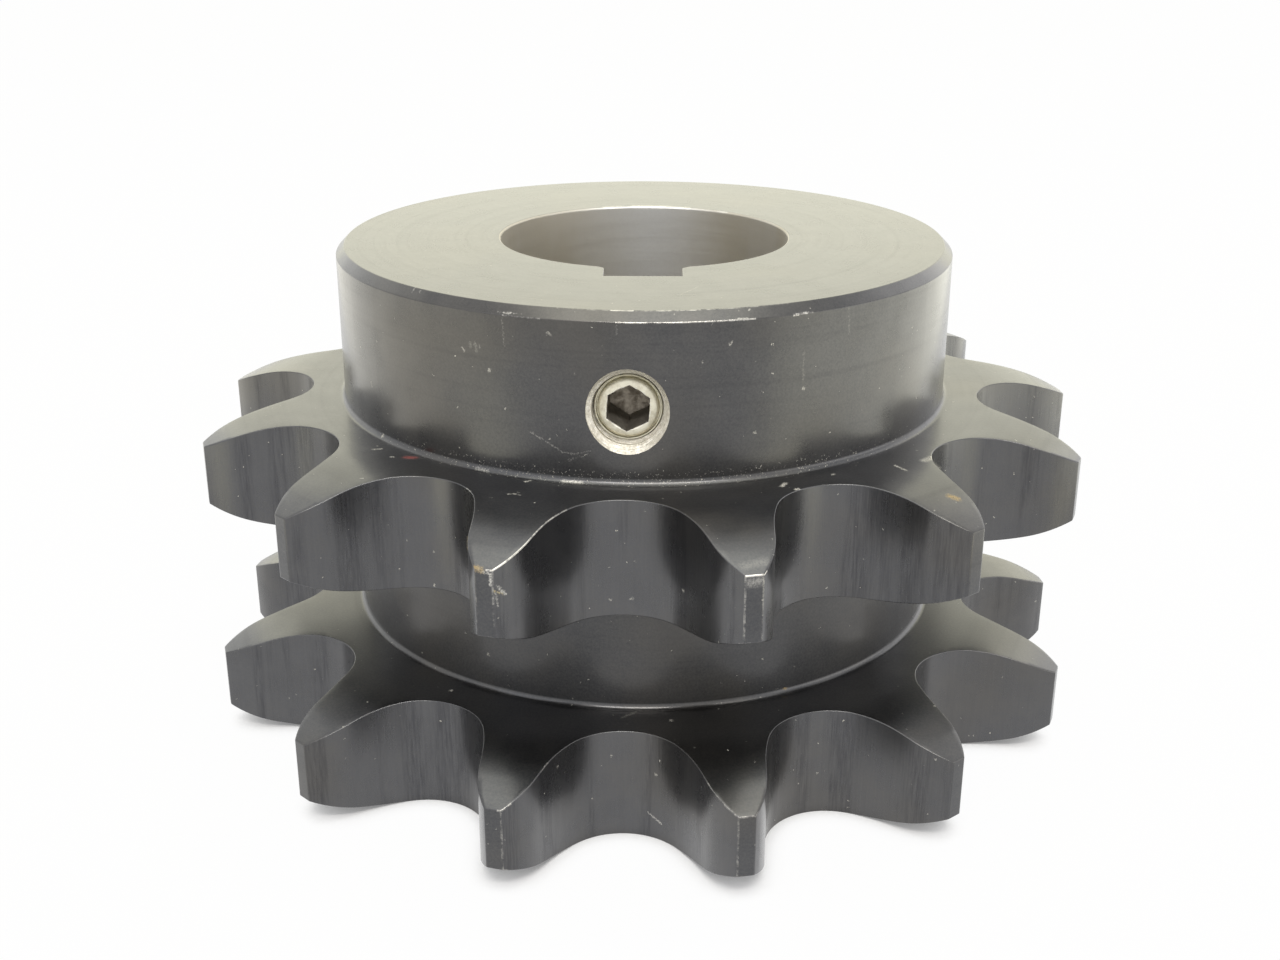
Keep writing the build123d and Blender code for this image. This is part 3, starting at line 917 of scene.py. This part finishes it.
# Sharp edges are rounded a little, and the narrow faces that this leaves are marked with how
# far the finish has worn off them: a little all round, and more along these runs, which give
# how worn the edge is between one point and the next
light_wear = 0.5
worn_reach = 0.5
sliver_width = 0.002
worn_runs = [
    [
        (-13.3, -57.6, 39.9), 0.95, (-10.0, -54.4, 41.7), 0.9, (-8.0, -50.2, 43.1), 0.85,
        (-5.9, -46.2, 43.4), 0.75, (-2.8, -43.7, 43.4), 0.7, (1.6, -43.5, 43.4),
    ],
    [(-13.3, -57.6, 40.3), 0.95, (-13.3, -57.6, 39.2), 0.8, (-13.3, -57.6, 38.0)],
    [(-13.3, -57.6, 38.4), 0.68, (-13.3, -57.6, 32.5)],
    [(-15.2, -57.1, 40.0), 0.66, (-15.2, -57.1, 32.5)],
    [(13.3, -57.6, 40.0), 1.0, (15.2, -57.1, 40.0)],
    [(13.3, -57.6, 40.0), 0.8, (13.3, -57.6, 32.5)],
    [(15.2, -57.1, 40.0), 0.75, (15.2, -57.1, 32.5)],
    [(-13.3, -57.6, 10.8), 0.85, (-8.5, -51.4, 13.1)],
    [(-13.3, -57.6, 10.8), 0.76, (-13.3, -57.6, 3.2)],
    [(13.3, -57.6, 10.8), 0.76, (13.3, -57.6, 3.2)],
    [(13.3, -57.6, 10.8), 0.75, (15.2, -57.1, 10.8)],
    [(9.2, -52.9, 12.9), 0.78, (12.8, -57.1, 11.3)],
    [(35.8, -29.8, 43.4), 0.95, (37.4, -25.2, 40.4)],
    [(-18.1, -42.8, 43.4), 0.8, (-17.6, -45.5, 43.4)],
    [(-7.0, -38.8, 63.5), 0.72, (-1.5, -39.4, 63.5)],
    [(-1.3, -39.4, 63.5), 0.92, (0.2, -39.4, 63.5)],
    [
        (0.4, -39.4, 63.5), 0.76, (3.8, -39.2, 63.5), 0.86, (8.0, -38.6, 63.5), 0.78,
        (12.5, -37.4, 63.5), 0.72, (17.0, -35.5, 63.5),
    ],
    [
        (-0.8, -40.5, 62.4), 0.93, (1.3, -40.5, 62.4), 0.86, (6.5, -40.0, 62.4), 0.87,
        (11.8, -38.7, 62.4), 0.94, (13.2, -38.3, 62.4),
    ],
    [(-13.2, -38.3, 62.4), 0.8, (-10.8, -39.0, 62.4)],
    [(18.4, -36.1, 62.4), 0.78, (20.3, -35.0, 62.4)],
]
worn_lines = [
    run[corner:corner + 3] for run in worn_runs for corner in range(0, len(run) - 1, 2)
]


def without_slivers(bm, distance, width):
    """Merges points nearer than this distance and takes out faces narrower than this width."""
    merged(bm, distance)
    bmesh.ops.dissolve_degenerate(bm, edges=bm.edges, dist=width)


def machined(piece):
    """A machined piece's mesh, cleaned and ready for its wear to be marked."""
    bm = bmesh.new()
    bm.from_mesh(piece.data)
    without_slivers(bm, 2 * sliver_width, sliver_width)
    bm.faces.layers.float.new("edge_wear")
    return bm


def sharp(edge):
    return edge.calc_face_angle(0) > radians(25)


def worn_here(place):
    """How worn an edge is at this place: as the nearest worn line, if one is close by."""
    wear = light_wear
    for start, line_wear, end in worn_lines:
        along = Vector(end) - Vector(start)
        share = min(max((place - Vector(start)).dot(along) / along.length_squared, 0), 1)
        if (place - Vector(start) - share * along).length < worn_reach:
            wear = max(wear, line_wear)
    return wear


def break_edges(bm, edges, width, wear_at):
    """Rounds these edges and marks the narrow faces it leaves with how worn they are."""
    rounded = bmesh.ops.bevel(
        bm, geom=edges, offset=width, affect="EDGES", segments=2, profile=0.5, material=-1,
    )
    edge_wear = bm.faces.layers.float["edge_wear"]
    for face in rounded["faces"]:
        face[edge_wear] = wear_at(face.calc_center_median())


def shade(bm):
    """Shades a mesh smooth, apart from edges that are sharp and weren't rounded."""
    without_slivers(bm, merge_distance, merge_distance)
    edge_wear = bm.faces.layers.float["edge_wear"]
    for face in bm.faces:
        face.smooth = True
    for edge in bm.edges:
        edge.smooth = not sharp(edge) or any(face[edge_wear] > 0 for face in edge.link_faces)


def to_metres(bm, piece):
    """Gives a piece its finished mesh, in metres."""
    bmesh.ops.scale(bm, verts=bm.verts, vec=(millimetre, millimetre, millimetre))
    bm.to_mesh(piece.data)
    bm.free()
    piece.modifiers.new("shading", "WEIGHTED_NORMAL").keep_sharp = True


def on_teeth(edge):
    return min(point.co.xy.length for point in edge.verts) > join_radius


def on_turned_circle(edge):
    """Whether an edge is on one of the circles left by the lathe on the hub and the bore."""
    low, high = sorted(point.co.z for point in edge.verts)
    circles = (0, bore_chamfer, hub_end - hub_chamfer, hub_end - bore_chamfer, hub_end)
    level = high - low < merge_distance
    return level and any(abs(low - height) < merge_distance for height in circles)


bm = machined(sprocket)
for place, width in ((on_teeth, tooth_edge_break), (on_turned_circle, turned_edge_break)):
    break_edges(bm, [edge for edge in bm.edges if sharp(edge) and place(edge)], width, worn_here)
shade(bm)
for point in bm.verts:
    point.co.z = max(point.co.z, 0)
to_metres(bm, sprocket)
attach(sprocket, "root")
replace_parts(sprocket, "sprocket")


# Set screws: two alloy steel screws, rolled with a coarse thread, rounded at the outer end
# and hollowed to a cup at the inner one. Each has a broached hexagon socket, and is screwed
# into a tapped hole in the hub.
screw_length = 12.7
screw_recess = 1.4                    # from the hub's surface to the screw's outer end
screw_radius = thread_minor_radius - 0.03
screw_root_radius = 3.45
screw_crest_radius = screw_radius + 0.14    # trimmed to the screw's radius
screw_end = hub_radius - screw_recess
screw_start = screw_end - screw_length
thread_start = screw_start - 2
thread_end = screw_end - 1.4
plain_length = 1.1                    # outside the thread, at the outer end
plain_radius = screw_radius + 0.1
cup_radius = 2.5
cup_depth = cup_radius / tan(radians(59))
socket_width = 4.7625
socket_depth = 6.0
socket_mouth_radius = 2.52
mouth_chamfer = 0.5
mouth_reach = 0.4                     # how far past the mouth its edges lie
mouth_edge_break = 0.05
mouth_wear = 0.9
drill_point = 0.9
drill_rim = 0.35
overrun = 2

# The shoulder at the outer end, with the ridge that the thread rolls raised beside it: each
# point's radius, and how far it lies below the end
shoulder = [
    (screw_radius, 1.05), (3.93, 0.80), (3.82, 0.62), (3.71, 0.66), (3.63, 1.00), (3.54, 1.00),
    (3.50, 0.50), (3.44, 0.31), (3.32, 0.18), (3.12, 0.08), (2.85, 0.02), (2.60, 0),
]

# The end is worn bright, and the thread and socket have kept old oil. The socket's walls are also
# coloured dark as painted shade in the recess
worn_face = (0.82, 0.79, 0.65, 1)
dull_face = (0.55, 0.51, 0.40, 1)
scuffed_face = (0.30, 0.28, 0.25, 1)
bright_edge = (0.92, 0.91, 0.88, 1)
dry_thread = (0.56, 0.52, 0.44, 1)
oily_thread = (0.36, 0.32, 0.26, 1)
painted_shade_wall = (0.32, 0.30, 0.26, 1)
painted_shade_oily_wall = (0.20, 0.185, 0.16, 1)
drilled_floor = (0.60, 0.54, 0.45, 1)
floor_dirt = (0.38, 0.33, 0.265, 1)

screw_steel, tree, shader = new_finish("screw_steel", 0.85, 0.45)
mottle = effect(tree, "patches", size=0.9, cover=0.45, softness=0.2, roughness=0.7)
rings = effect(tree, "hole_rings", spacing=0.12)
fine_scuffs = effect(tree, "scuffs", spacing=1.4, length=1.2, width=0.025, share=0.5)
colour = over(tree, times(tree, mottle, 0.75), worn_face, dull_face)
colour = over(tree, times(tree, fine_scuffs, 0.5), colour, scuffed_face)
colour = over(tree, effect(tree, "worn_edges", size=0.8), colour, bright_edge)
height = calc(tree, "SUBTRACT", calc(tree, "ADD", rings, mottle), fine_scuffs)
dress(tree, shader, colour, ramp(tree, mottle, 0.0, 1.0, 0.40, 0.58), height, 0.012)

thread_steel, tree, shader = new_finish("thread_steel", 0.8, 0.5)
oil = effect(tree, "patches", size=1.0, softness=0.2, roughness=0.7)
grit = effect(tree, "patches", size=0.15, softness=0.25, roughness=0.8)
colour = over(tree, oil, dry_thread, oily_thread)
dress(tree, shader, colour, ramp(tree, oil, 0.0, 1.0, 0.55, 0.40), grit, 0.02)

# The socket's walls: dark colours that are painted shade for the recess, in patches of old oil
socket_wall, tree, shader = new_finish("socket_wall", 0.7, 0.5)
oil = effect(tree, "patches", size=1.2, softness=0.2, roughness=0.6)
grit = effect(tree, "patches", size=0.3, softness=0.3)
colour = over(tree, oil, painted_shade_wall, painted_shade_oily_wall)
dress(tree, shader, colour, ramp(tree, oil, 0.0, 1.0, 0.55, 0.42), grit, 0.02)

socket_floor, tree, shader = new_finish("socket_floor", 0.55, 0.55)
dirt = effect(tree, "patches", size=1.3, softness=0.2, roughness=0.65)
rings = effect(tree, "hole_rings", spacing=0.25)
colour = over(tree, dirt, drilled_floor, floor_dirt)
height = calc(tree, "ADD", dirt, rings)
dress(tree, shader, colour, ramp(tree, dirt, 0.0, 1.0, 0.45, 0.7), height, 0.04)


def at_mouth(edge):
    """Whether an edge is on the countersink round the socket's mouth."""
    return all(
        point.co.z > screw_end - mouth_chamfer
        and point.co.xy.length < socket_mouth_radius + mouth_reach
        for point in edge.verts
    )


def set_screw(name, turn, socket_turn):
    """Makes one screw along +Z, sets it in its hole and gives it back."""
    bm = bmesh.new()
    outline = bmesh.ops.create_vert(bm, co=(0, 0, screw_start + cup_depth))["vert"]
    for radius, height in (
        (cup_radius, screw_start),
        (screw_radius, screw_start + screw_radius - cup_radius),
        *((radius, screw_end - below) for radius, below in shoulder),
        (0, screw_end),
    ):
        outline += bmesh.ops.extrude_vert_indiv(bm, verts=[outline[-1]])["verts"]
        outline[-1].co = (radius, 0, height)
    bmesh.ops.spin(bm, geom=everything(bm), axis=(0, 0, 1), angle=2 * pi, steps=96, use_merge=True)
    merged(bm)
    bmesh.ops.recalc_face_normals(bm, faces=bm.faces)
    screw = to_object(bm, name, screw_steel)

    rod = threaded_rod(screw_root_radius, screw_crest_radius, thread_start, thread_end)
    thread_roll = to_object(rod, "thread_roll", thread_steel)
    plain_end = cone(plain_radius, plain_radius, 2 * overrun, screw_end + overrun - plain_length)
    machine(thread_roll, to_object(plain_end, "plain_end", thread_steel), "UNION")
    machine(screw, thread_roll, "INTERSECT")

    corner_radius = socket_width / 2 / cos(pi / 6)
    broach_middle = screw_end + (overrun - socket_depth) / 2
    bm = cone(corner_radius, corner_radius, socket_depth + overrun, broach_middle, segments=6)
    floor_face = min(bm.faces, key=lambda face: face.calc_center_median().z)
    floor_face.material_index = 1
    bmesh.ops.inset_individual(bm, faces=[floor_face], thickness=drill_rim)
    for point in bmesh.ops.poke(bm, faces=[floor_face])["verts"]:
        point.co.z -= drill_point
    turned(bm, radians(socket_turn))
    machine(screw, to_object(bm, "hexagon_broach", socket_wall, socket_floor))

    mouth = cone(
        socket_mouth_radius - mouth_chamfer, socket_mouth_radius + mouth_chamfer,
        2 * mouth_chamfer, screw_end,
    )
    machine(screw, to_object(mouth, "mouth_countersink", screw_steel))

    bm = machined(screw)
    mouth_edges = [edge for edge in bm.edges if sharp(edge) and at_mouth(edge)]
    break_edges(bm, mouth_edges, mouth_edge_break, lambda place: mouth_wear)
    shade(bm)
    on_hub(bm, turn)
    to_metres(bm, screw)
    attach(screw, "root")
    return screw


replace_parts(set_screw("keyway_screw", 0, -3.5), "keyway_set_screw")
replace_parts(set_screw("side_screw", side_screw_turn, 20), "side_set_screw")
